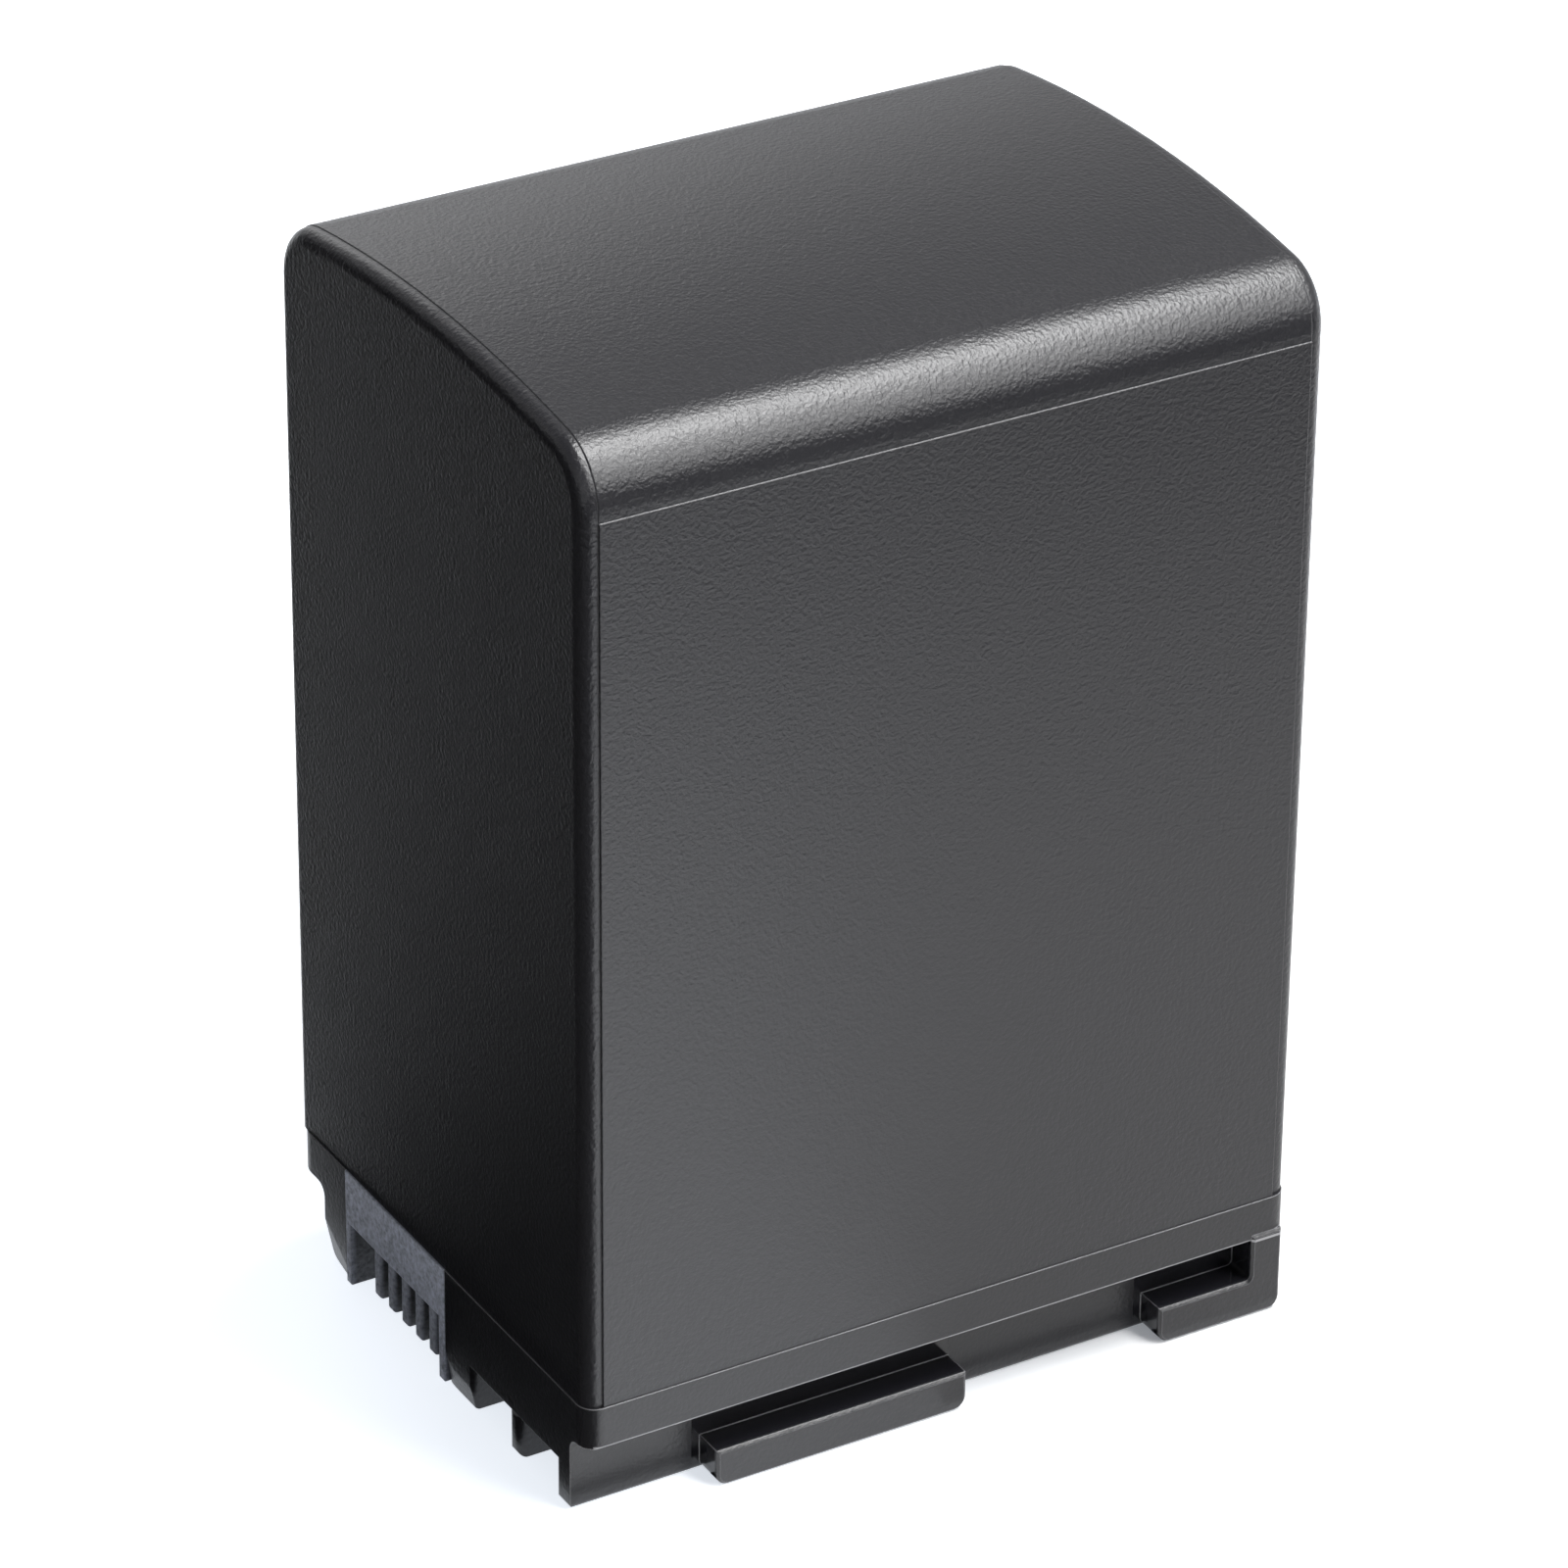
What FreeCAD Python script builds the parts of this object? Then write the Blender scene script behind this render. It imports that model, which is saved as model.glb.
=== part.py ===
import FreeCAD, Part
import math
import os

# Camcorder battery pack: an arched case closed by a base cover that slides onto the camera's plate.
# Millimetres. +Z is up, X runs along the slide, -X is the terminal end, -Y is the front face.
# The origin is the centre of the mating face, which is the underside of the base cover.

# Outside of the pack
width = 40.0            # along the slide
depth = 30.2            # front to back at the parting line
height = 58.4           # mating face to the crown of the arch
parting_z = 6.6         # joint between case and base cover
side_draft = 0.14       # degrees, front and back faces
arch_radius = 82.2      # crown, seen along the slide
top_corner_r = 3.2      # crown to front and back faces
end_edge_r = 0.8        # both ends to crown and faces

# Case shell and the faint steps its mould leaves
wall = 1.2
mould_step = 0.06       # each face stands this far proud of the next
step_edge_r = 0.05
step_margin = 0.9       # end of the pack to the step beside the end radius
face_line_z = 53.9      # step between the front face and the rounded crown

# Rim and walls of the base cover
rim_proud = 0.06
rim_height = 2.3
rim_edge_r = 0.15
rim_corner_r = 1.0      # corners of the rim, seen from above
rim_lead_corner_r = 1.5 # the corner over the lead-in
rail_inset_front = 1.6  # front face to the front rail wall
rail_inset_back = 2.9   # back face to the back rail wall
rail_root_r = 0.7
rail_foot_r = 0.4
far_end_inset = 0.35    # the closed end below the rim
far_blend_r = 0.6       # both bends between the rim and the closed end
plate_thickness = 1.2   # mating plate
lip_height = 1.5        # spigot that enters the case
lip_thickness = 1.0
lip_clearance = 0.1

# Hook bars, which the camera's hooks slide behind
bar_height = 2.05
bar_face_proud = 0.21   # stands this far in front of the pack's face
bar_bevel = 0.14        # round the outer face
bar_end_r = 0.65        # lower corner of each free end
bar_setback = 7.1       # terminal end to the first bar
bar_length = 14.1
bar_gap = 11.3          # first bar to second bar
stop_length = 1.75      # closed end of the second bar
stop_rise = 0.35        # laps up over the rim's lower edge
stop_corner_r = 0.6
stop_inner_r = 0.3      # bar to stop

# Keyed slots beside the terminals
slot_length = 6.0
slot_height = 2.35
slot_width = 3.6
slot_offset = 3.05      # front face to the first slot
key_rib_width = 1.2
key_rib_end_r = 0.5
slot_mouth_r = 0.4
slot_ceiling_r = 0.15
toe_r = 0.4             # terminal end to the mating face
floor_over_slots = 1.2
cross_wall = 1.3        # wall behind slots and terminals
lead_in_height = 2.4
lead_in_width = 3.6
lead_in_depth = 0.5
flare_depth = 0.35      # scooped corner on the near side of the terminal block
flare_width = 1.3
flare_toe = 1.2

# Terminal block and its comb
block_offset = 14.35    # front face to the near side of the block
block_width = 10.6
block_length = 6.1
block_proud = 0.12
block_clearance = 0.05
comb_height = 3.65
comb_wall = 0.5
comb_gap = 0.65
comb_tooth = 0.8
comb_count = 5
tooth_lift = 0.75       # inner teeth end above the mating face
tooth_setback = 0.15
tooth_edge_r = 0.2
block_edge_r = 0.1

# Blade contacts
leaf_thickness = 0.15
leaf_clearance = 0.02
leaf_setback = 1.2      # face of the block to the contact
leaf_bottom = 1.0
tail_width = 0.5
tail_thickness = 0.2
tail_length = 3.4       # beyond the block, onto the board

# Circuit board
board_thickness = 0.8
board_lift = 1.4        # above the mating plate
board_margin = 0.3
post_size = 2.0
pocket_margin_far = 3.0
pocket_margin_front = 3.0
pocket_margin_back = 4.3
pocket_margin_near = 3.0

# Cells, straps, insulator and pad
cell_count = 4
cell_stack_gap = 0.58   # stack of cells to the case, front and back
cell_side_gap = 0.6
cell_edge_r = 1.2
cell_lift = 0.1         # above the lip
cell_head_room = 3.6    # under the crown of the cavity
terminal_length = 4.0
terminal_width = 2.6
terminal_drop = 0.65
pad_inset = 7.2         # end of the cell to the middle of its weld pad
strap_width = 3.0
strap_thickness = 0.15
strap_overlap = 1.0
link_width = 1.4
tab_width = 3.0
window_margin = 0.5
insulator_margin = 0.2
foam_width = 18.0
foam_length = 30.0

# Electronic parts on the board: length, width, height, then the middle from the board's edges,
# positive from the near end and the front, negative from the far end and the back
protection_ic_size = (5.0, 4.4, 1.1)
protection_ic_at = (6.0, 4.95)
gauge_ic_size = (4.0, 4.0, 0.9)
gauge_ic_at = (-12.0, 4.75)
mosfet_size = (3.0, 4.4, 1.0)
charge_mosfet_at = (-14.2, -7.55)
discharge_mosfet_at = (-10.2, -7.55)
resistor_size = (6.3, 3.2, 0.6)
resistor_at = (-15.7, -2.55)
fuse_size = (1.6, 3.2, 0.6)
fuse_at = (-2.15, -10.55)
thermistor_size = (1.6, 0.8, 0.8)
thermistor_at = (4.55, -2.55)

half_w = width / 2
half_d = depth / 2
pick = 0.01             # tolerance for picking edges
rim_bottom = parting_z - rim_height
front_wall = -half_d + rail_inset_front
back_wall = half_d - rail_inset_back
far_end = half_w - far_end_inset
near_end = -half_w - rim_proud
slot_end = near_end + slot_length
bay_near = -half_d + block_offset
bay_far = bay_near + block_width
bay_end = -half_w - block_proud + block_length
pocket_near = max(slot_end, bay_end) + cross_wall
pocket_far = half_w - pocket_margin_far
pocket_front = -half_d + pocket_margin_front
pocket_back = half_d - pocket_margin_back
slot_floor = slot_height + floor_over_slots
shell = wall + 2 * mould_step
lip_x = half_w - wall - lip_clearance
lip_y = half_d - shell - lip_clearance
board_near = pocket_near + board_margin
board_far = pocket_far - board_margin
board_front = pocket_front + board_margin
board_back = pocket_back - board_margin
board_bottom = plate_thickness + board_lift
board_top = board_bottom + board_thickness
insulator_top = parting_z + lip_height - cell_lift - terminal_drop
strap_top = insulator_top + strap_thickness
cell_bottom = strap_top + terminal_drop
cell_top = height - shell - cell_head_room
cell_half_w = half_w - wall - cell_side_gap
cell_thickness = 2 * (half_d - shell - cell_stack_gap) / cell_count
pad_shift = cell_half_w - pad_inset


def box(x0, x1, y0, y1, z0, z1):
    return Part.makeBox(x1 - x0, y1 - y0, z1 - z0, FreeCAD.Vector(x0, y0, z0))


def along_x(points, x0, x1):
    ring = [FreeCAD.Vector(x0, y, z) for y, z in points]
    face = Part.Face(Part.makePolygon(ring + ring[:1]))
    return face.extrude(FreeCAD.Vector(x1 - x0, 0, 0))


def upright_edges(solid):
    return [e for e in solid.Edges if e.BoundBox.XLength < pick and e.BoundBox.YLength < pick]


def rounded_plan(x0, x1, y0, y1, z0, z1, radius):
    block = box(x0, x1, y0, y1, z0, z1)
    return block.makeFillet(radius, upright_edges(block))


def drafted_block(inset, x0, x1, z0, z1):
    low = half_d - inset - (z0 - parting_z) * math.tan(math.radians(side_draft))
    high = half_d - inset - (z1 - parting_z) * math.tan(math.radians(side_draft))
    return along_x([(-low, z0), (low, z0), (high, z1), (-high, z1)], x0, x1)


def crowned_block(inset, x0, x1, z0):
    sides = drafted_block(inset, x0, x1, z0, height)
    axis_z = height - arch_radius
    drum = Part.makeCylinder(
        arch_radius - inset, x1 - x0, FreeCAD.Vector(x0, 0, axis_z), FreeCAD.Vector(1, 0, 0)
    )
    body = sides.common(drum)
    lengthwise = [e for e in body.Edges if e.BoundBox.XLength > (x1 - x0) / 2]
    crown = [e for e in lengthwise if e.BoundBox.ZMin > height / 2]
    return body.makeFillet(top_corner_r - inset, crown)


def above_parting(solid):
    return [e for e in solid.Edges if e.BoundBox.ZMax > parting_z + pick]


def end_outlines(solid):
    return [e for e in above_parting(solid) if e.BoundBox.XLength < pick]


# Main case: one moulded tub, open at the parting line
def main_case():
    core = crowned_block(2 * mould_step, -half_w, half_w, parting_z)
    core = core.makeFillet(end_edge_r, end_outlines(core))
    step_x = half_w - step_margin
    crown = crowned_block(mould_step, -step_x, step_x, parting_z)
    crown = crown.makeFillet(step_edge_r, end_outlines(crown))
    faces = drafted_block(0, -step_x, step_x, parting_z, face_line_z)
    faces = faces.makeFillet(step_edge_r, above_parting(faces))
    cavity = crowned_block(shell, wall - half_w, half_w - wall, parting_z)
    return core.fuse([crown, faces]).removeSplitter().cut(cavity)


# Cross-section of the base cover: rim, rail walls and mating face in one outline
def base_section():
    rim = half_d + rim_proud
    turn = math.sqrt(2) / 2
    edges = []

    def line(a, b):
        edges.append(Part.makeLine(FreeCAD.Vector(near_end, *a), FreeCAD.Vector(near_end, *b)))

    def arc(a, middle, b):
        edges.append(Part.Arc(*[FreeCAD.Vector(near_end, *p) for p in (a, middle, b)]).toShape())

    def side(sign, rail):
        outer = sign * rim
        edge = outer - sign * rim_edge_r
        root = rail + sign * rail_root_r
        foot = rail - sign * rail_foot_r
        line((outer, parting_z), (outer, rim_bottom + rim_edge_r))
        bend = (edge + sign * rim_edge_r * turn, rim_bottom + rim_edge_r * (1 - turn))
        arc((outer, rim_bottom + rim_edge_r), bend, (edge, rim_bottom))
        line((edge, rim_bottom), (root, rim_bottom))
        bend = (root - sign * rail_root_r * turn, rim_bottom - rail_root_r * (1 - turn))
        arc((root, rim_bottom), bend, (rail, rim_bottom - rail_root_r))
        line((rail, rim_bottom - rail_root_r), (rail, rail_foot_r))
        bend = (foot + sign * rail_foot_r * turn, rail_foot_r * (1 - turn))
        arc((rail, rail_foot_r), bend, (foot, 0))
        return foot

    front_foot = side(-1, front_wall)
    back_foot = side(1, back_wall)
    line((front_foot, 0), (back_foot, 0))
    line((-rim, parting_z), (rim, parting_z))
    return Part.Face(Part.Wire(Part.__sortEdges__(edges)))


def outer_edges(solid, face_y):
    return [e for e in solid.Edges if abs(e.BoundBox.YMin - face_y) < pick and e.BoundBox.YLength < pick]


def cross_edges(solid, x, z):
    level = [e for e in solid.Edges if e.BoundBox.XLength < pick and e.BoundBox.ZLength < pick]
    return [e for e in level if abs(e.BoundBox.XMin - x) < pick and abs(e.BoundBox.ZMin - z) < pick]


# Plain hook bar on one rail wall, rounded at its lower corners and bevelled round its outer face
def hook_bar(wall_y, sign):
    x0 = -half_w + bar_setback
    x1 = x0 + bar_length
    face_y = sign * (half_d + bar_face_proud)
    root_y = wall_y - sign * rail_foot_r
    bar = box(x0, x1, min(root_y, face_y), max(root_y, face_y), 0, bar_height)
    bar = bar.makeFillet(bar_end_r, cross_edges(bar, x0, 0) + cross_edges(bar, x1, 0))
    return bar.makeChamfer(bar_bevel, outer_edges(bar, face_y))


# Hook bar closed at the far end by a stop that reaches up to the rim
def closed_bar(wall_y, sign):
    x0 = -half_w + bar_setback + bar_length + bar_gap
    face_y = sign * (half_d + bar_face_proud)
    root_y = wall_y - sign * rail_foot_r
    y0 = min(root_y, face_y)
    y1 = max(root_y, face_y)
    corner_x = far_end - stop_length
    bar = box(x0, far_end, y0, y1, 0, bar_height)
    stop = box(corner_x, far_end, y0, y1, 0, rim_bottom + stop_rise)
    hook = bar.fuse(stop).removeSplitter()
    hook = hook.makeFillet(bar_end_r, cross_edges(hook, x0, 0))
    hook = hook.makeFillet(stop_corner_r, cross_edges(hook, far_end, 0))
    hook = hook.makeFillet(stop_inner_r, cross_edges(hook, corner_x, bar_height))
    return hook.makeChamfer(bar_bevel, outer_edges(hook, face_y))


# Rounded rib that stands between the two keyed slots
def key_rib():
    y0 = -half_d + slot_offset + slot_width
    y1 = y0 + key_rib_width
    rib = box(near_end, slot_end, y0, y1, 0, slot_height)
    nose = [e for e in upright_edges(rib) if e.BoundBox.XMax < near_end + pick]
    return rib.makeFillet(key_rib_end_r, nose)


# Both slots as one cut with rounded mouths; the rib goes back in between them
def cut_keyed_slots(body):
    first = -half_d + slot_offset
    last = first + 2 * slot_width + key_rib_width
    body = body.cut(box(-width, slot_end, first, last, -height, slot_height))
    corners = [e for e in upright_edges(body) if e.BoundBox.XMax < near_end + pick]
    mouths = [e for e in corners if min(abs(e.BoundBox.YMin - y) for y in (first, last)) < pick]
    body = body.makeFillet(slot_mouth_r, mouths)
    level = [e for e in body.Edges if e.BoundBox.XMax < near_end + pick and e.BoundBox.ZLength < pick]
    ceiling = [e for e in level if abs(e.BoundBox.ZMin - slot_height) < pick]
    return body.makeFillet(slot_ceiling_r, ceiling)


# Rounding where the terminal end turns into the mating face
def toe_round():
    block = box(near_end, near_end + toe_r, -depth, depth, 0, toe_r)
    centre = FreeCAD.Vector(near_end + toe_r, -depth, toe_r)
    return block.cut(Part.makeCylinder(toe_r, 2 * depth, centre, FreeCAD.Vector(0, 1, 0)))


# Sloping corner cut that leads the camera's connector in beside the terminal block
def lead_in(corner_y):
    a = FreeCAD.Vector(near_end, corner_y, lead_in_height)
    b = FreeCAD.Vector(near_end, corner_y - lead_in_width, 0)
    c = FreeCAD.Vector(near_end, corner_y, 0)
    d = FreeCAD.Vector(near_end + lead_in_depth, corner_y, 0)
    triangles = ((a, b, c), (a, b, d), (a, c, d), (b, c, d))
    faces = [Part.Face(Part.makePolygon([p, q, r, p])) for p, q, r in triangles]
    return Part.Solid(Part.Shell(faces))


# Scooped corner on the near side of the block, which runs out along the foot of the wall
def flare(corner_y):
    def point(y, z):
        return FreeCAD.Vector(near_end, corner_y - y, z)

    bow = Part.BezierCurve()
    bow.setPoles([point(0, lead_in_height), point(0, flare_toe), point(flare_width, flare_toe)])
    toe = [(flare_width, flare_toe), (lead_in_width, flare_toe)]
    foot = [(lead_in_width, 0), (0, 0), (0, lead_in_height)]
    sides = Part.makePolygon([point(y, z) for y, z in toe + foot])
    outline = Part.Wire([bow.toShape()] + sides.Edges)
    return Part.Face(outline).extrude(FreeCAD.Vector(flare_depth, 0, -lead_in_height))


# Space beyond the closed end: the end steps in below the rim through two opposite bends
def beyond_far_end():
    def point(x, z):
        return FreeCAD.Vector(x, -depth, z)

    rim_x = half_w + rim_proud
    turn = math.acos(1 - (rim_x - far_end) / (2 * far_blend_r))
    top = rim_bottom + far_blend_r * math.sin(turn)
    low = rim_bottom - far_blend_r * math.sin(turn)
    dx = far_blend_r * (1 - math.cos(turn / 2))
    dz = far_blend_r * math.sin(turn / 2)
    middle = point((rim_x + far_end) / 2, rim_bottom)
    bends = [
        Part.Arc(point(rim_x, top), point(rim_x - dx, top - dz), middle).toShape(),
        Part.Arc(middle, point(far_end + dx, low + dz), point(far_end, low)).toShape(),
    ]
    outside = half_w + width
    corners = [(far_end, low), (far_end, -height), (outside, -height), (outside, top), (rim_x, top)]
    sides = Part.makePolygon([point(x, z) for x, z in corners])
    return Part.Face(Part.Wire(bends + sides.Edges)).extrude(FreeCAD.Vector(0, 2 * depth, 0))


def contact_centres():
    first = bay_near + block_clearance + comb_wall + comb_gap / 2
    return [first + i * (comb_gap + comb_tooth) for i in range(comb_count)]


# Inside of the base cover: board pocket, shallower floor over the slots,
# way through for the contact tails
def base_hollows():
    deep = box(pocket_near, pocket_far, pocket_front, pocket_back, plate_thickness, height)
    shallow_near = near_end + pocket_margin_near
    shallow = box(shallow_near, pocket_near, pocket_front, bay_near - wall, slot_floor, height)
    tails = contact_centres()
    window_z = board_top - tail_thickness
    window_y0 = tails[0] - tail_width
    window_y1 = tails[-1] + tail_width
    window = box(bay_end - wall, pocket_near, window_y0, window_y1, window_z, height)
    bay = box(-width, bay_end, bay_near, bay_far, -height, height)
    return [deep, shallow, window, bay]


# Spigot that enters the case, cut away over the terminal block
def base_lip():
    outer = box(-lip_x, lip_x, -lip_y, lip_y, rim_bottom, parting_z + lip_height)
    t = lip_thickness
    return outer.cut(box(t - lip_x, lip_x - t, t - lip_y, lip_y - t, -height, height))


def board_posts():
    posts = []
    for x in (pocket_near, pocket_far - post_size):
        for y in (pocket_front, pocket_back - post_size):
            posts.append(box(x, x + post_size, y, y + post_size, 0, board_bottom))
    return posts


# Base cover: rim, rails, hook bars, keyed slots and terminal bay in one moulding
def base_cover():
    bar = base_section().extrude(FreeCAD.Vector(width + 2 * rim_proud, 0, 0))
    rim_x = half_w + rim_proud
    rim_y = half_d + rim_proud
    plan = box(-rim_x, rim_x, -rim_y, rim_y, -height, height)
    lead = [e for e in upright_edges(plan) if e.BoundBox.XMax < 0 and e.BoundBox.YMin > 0]
    plan = plan.makeFillet(rim_lead_corner_r, lead)
    square = [e for e in upright_edges(plan) if abs(abs(e.BoundBox.XMin) - rim_x) < pick]
    square = [e for e in square if abs(abs(e.BoundBox.YMin) - rim_y) < pick]
    body = bar.common(plan.makeFillet(rim_corner_r, square))
    body = body.cut(beyond_far_end())
    body = cut_keyed_slots(body).fuse(key_rib())
    body = body.cut([toe_round(), flare(bay_near), lead_in(back_wall)])
    rails = ((front_wall, -1), (back_wall, 1))
    hooks = [make(y, sign) for y, sign in rails for make in (hook_bar, closed_bar)]
    body = body.fuse(hooks + [base_lip()])
    body = body.cut(base_hollows()).fuse(board_posts())
    return body.removeSplitter()


# One guard tooth of the comb, rounded where the camera's blades enter
def guard_tooth(x0, x1, y0):
    tooth = box(x0, x1, y0, y0 + comb_tooth, tooth_lift, comb_height)
    front = [e for e in upright_edges(tooth) if e.BoundBox.XMax < x0 + pick]
    low = [e for e in tooth.Edges if e.BoundBox.ZMax < tooth_lift + pick and e.BoundBox.XMin < x1 - pick]
    return tooth.makeFillet(tooth_edge_r, front + low)


# Terminal block: a solid band over a comb of guard teeth
def terminal_block():
    x0 = -half_w - block_proud
    x1 = bay_end
    y0 = bay_near + block_clearance
    y1 = bay_far - block_clearance
    block = box(x0, x1, y0, y1, 0, parting_z)
    block = block.makeFillet(block_edge_r, [e for e in block.Edges if e.BoundBox.XMax < x0 + pick])
    cuts = [box(x0 - width, x1 - wall, y0 + comb_wall, y1 - comb_wall, -height, comb_height)]
    teeth = []
    for centre in contact_centres():
        near = centre - comb_gap / 2
        far = centre + comb_gap / 2
        cuts.append(box(x0 - width, x1 + wall, near, far, -height, comb_height))
        teeth.append(guard_tooth(x0 + tooth_setback, x1 - wall, far))
    return block.cut(cuts).fuse(teeth).removeSplitter()


# Female blade contact: two facing leaves joined by a web, with a tail soldered to the board
def blade_contact(centre):
    x0 = -half_w - block_proud + leaf_setback
    half = comb_gap / 2 - leaf_clearance
    top = board_top + tail_thickness
    y0 = centre - half
    y1 = centre + half
    left = box(x0, bay_end, y0, y0 + leaf_thickness, leaf_bottom, top)
    right = box(x0, bay_end, y1 - leaf_thickness, y1, leaf_bottom, top)
    web = box(bay_end - leaf_thickness, bay_end, y0, y1, leaf_bottom, top)
    tail_y = centre - tail_width / 2
    tail = box(bay_end, bay_end + tail_length, tail_y, tail_y + tail_width, board_top, top)
    return left.fuse([right, web, tail]).removeSplitter()


def cell_centre(index):
    return (index - (cell_count - 1) / 2) * cell_thickness


# Prismatic cell: sealed can with its centre button and weld pad facing the board
def cell(index):
    y = cell_centre(index)
    t = cell_thickness / 2
    can = rounded_plan(-cell_half_w, cell_half_w, y - t, y + t, cell_bottom, cell_top, cell_edge_r)
    a = terminal_length / 2
    b = terminal_width / 2
    button = box(-a, a, y - b, y + b, strap_top, cell_bottom)
    weld_pad = box(pad_shift - a, pad_shift + a, y - b, y + b, strap_top, cell_bottom)
    return can.fuse([button, weld_pad]).removeSplitter()


def strap_strip(x, first, last):
    w = strap_width / 2
    y0 = cell_centre(first) - strap_overlap
    y1 = cell_centre(last) + strap_overlap
    return box(x - w, x + w, y0, y1, insulator_top, strap_top)


# Tab of a strap that passes the insulator and stands on the board
def strap_tab(x, y):
    return box(x, x + strap_thickness, y - tab_width / 2, y + tab_width / 2, board_top, strap_top)


def pair_middle(first):
    return (cell_centre(first) + cell_centre(first + 1)) / 2


def tab_places():
    w = strap_width / 2
    t = strap_thickness
    return [(-w - t, pair_middle(0)), (pad_shift + w, pair_middle(0)), (pad_shift + w, pair_middle(2))]


def strap_negative():
    return strap_strip(0, 0, 1).fuse(strap_tab(*tab_places()[0])).removeSplitter()


def strap_middle():
    w = strap_width / 2
    h = link_width / 2
    pads = box(pad_shift - w, pad_shift + w, cell_centre(0) - strap_overlap, h, insulator_top, strap_top)
    buttons = box(-w, w, -h, cell_centre(3) + strap_overlap, insulator_top, strap_top)
    link = box(-w, pad_shift + w, -h, h, insulator_top, strap_top)
    return link.fuse([pads, buttons, strap_tab(*tab_places()[1])]).removeSplitter()


def strap_positive():
    return strap_strip(pad_shift, 2, 3).fuse(strap_tab(*tab_places()[2])).removeSplitter()


# Insulator plate between board and cells, with a window for each tab
def insulator_plate():
    x = lip_x - lip_thickness - insulator_margin
    y = lip_y - lip_thickness - insulator_margin
    plate = box(-x, x, -y, y, parting_z, insulator_top)
    m = window_margin
    windows = []
    for tab_x, tab_y in tab_places():
        w = tab_width / 2 + m
        windows.append(box(tab_x - m, tab_x + strap_thickness + m, tab_y - w, tab_y + w, 0, height))
    return plate.cut(windows)


# Foam pad that holds the cells down, its top following the crown of the cavity
def foam_pad():
    block = box(-foam_length / 2, foam_length / 2, -foam_width / 2, foam_width / 2, cell_top, height)
    return block.common(crowned_block(shell, -half_w, half_w, parting_z))


def circuit_board():
    return box(board_near, board_far, board_front, board_back, board_bottom, board_top)


def from_edge(low, high, distance):
    return low + distance if distance > 0 else high + distance


def component(size, place):
    x = from_edge(board_near, board_far, place[0])
    y = from_edge(board_front, board_back, place[1])
    a = size[0] / 2
    b = size[1] / 2
    return box(x - a, x + a, y - b, y + b, board_top, board_top + size[2])


def all_pieces():
    pieces = {
        "main_case": main_case(),
        "base_cover": base_cover(),
        "terminal_block": terminal_block(),
        "strap_negative": strap_negative(),
        "strap_middle": strap_middle(),
        "strap_positive": strap_positive(),
        "insulator_plate": insulator_plate(),
        "foam_pad": foam_pad(),
        "circuit_board": circuit_board(),
        "protection_ic": component(protection_ic_size, protection_ic_at),
        "gauge_ic": component(gauge_ic_size, gauge_ic_at),
        "charge_mosfet": component(mosfet_size, charge_mosfet_at),
        "discharge_mosfet": component(mosfet_size, discharge_mosfet_at),
        "sense_resistor": component(resistor_size, resistor_at),
        "chip_fuse": component(fuse_size, fuse_at),
        "thermistor": component(thermistor_size, thermistor_at),
    }
    for i, centre in enumerate(contact_centres()):
        pieces[f"blade_contact_{i + 1}"] = blade_contact(centre)
    for i in range(cell_count):
        pieces[f"cell_{i + 1}"] = cell(i)
    return pieces


os.makedirs("parts", exist_ok=True)
for name, shape in all_pieces().items():
    shape.exportStep(os.path.join("parts", name + ".step"))
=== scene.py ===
import math
import bpy
from mathutils import Matrix, Vector


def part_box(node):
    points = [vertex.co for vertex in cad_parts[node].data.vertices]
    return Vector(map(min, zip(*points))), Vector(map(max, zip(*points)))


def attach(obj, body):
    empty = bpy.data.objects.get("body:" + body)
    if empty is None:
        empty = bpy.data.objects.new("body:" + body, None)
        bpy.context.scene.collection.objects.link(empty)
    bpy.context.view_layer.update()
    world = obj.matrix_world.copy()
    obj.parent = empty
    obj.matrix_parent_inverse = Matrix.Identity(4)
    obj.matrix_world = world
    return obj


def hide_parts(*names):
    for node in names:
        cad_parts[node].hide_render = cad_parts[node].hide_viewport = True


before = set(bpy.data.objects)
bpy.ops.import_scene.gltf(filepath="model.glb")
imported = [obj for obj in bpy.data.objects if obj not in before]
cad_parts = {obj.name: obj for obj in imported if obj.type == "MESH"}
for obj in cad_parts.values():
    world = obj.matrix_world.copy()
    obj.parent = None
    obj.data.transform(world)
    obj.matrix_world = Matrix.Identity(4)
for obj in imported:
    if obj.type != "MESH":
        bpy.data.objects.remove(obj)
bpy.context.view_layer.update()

scene = bpy.context.scene

# Cells: four sealed prismatic cans of deep-drawn aluminium, standing side by side on the straps.
# Drawing leaves fine upright lines and a slightly uneven sheen on the bare metal.
can_colour = (0.62, 0.63, 0.64)
can_lines = (5200.0, 5200.0, 90.0)      # marks per metre across, across and along the draw
can_roughness = 0.34
can_line_depth = 0.000003
metal_unevenness = 0.5                  # of colour and sheen, from line to line
noise_middle = 0.5                      # the level that a noise swings about


def new_finish(name):
    material = bpy.data.materials.new(name)
    material.use_nodes = True
    return material, material.node_tree.nodes, material.node_tree.links.new


def put_on(material, *names):
    for name in names:
        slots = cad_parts[name].data.materials
        slots.clear()
        slots.append(material)


def new_group(name, inputs, outputs):
    group = bpy.data.node_groups.new(name, "ShaderNodeTree")
    for label, kind in inputs:
        group.interface.new_socket(label, in_out="INPUT", socket_type=kind)
    for label, kind in outputs:
        group.interface.new_socket(label, in_out="OUTPUT", socket_type=kind)
    start = group.nodes.new("NodeGroupInput")
    end = group.nodes.new("NodeGroupOutput")
    return group, group.nodes, group.links.new, start.outputs, end.inputs


def feed(link, socket, value):
    if isinstance(value, bpy.types.NodeSocket):
        link(value, socket)
    else:
        socket.default_value = value


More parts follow.
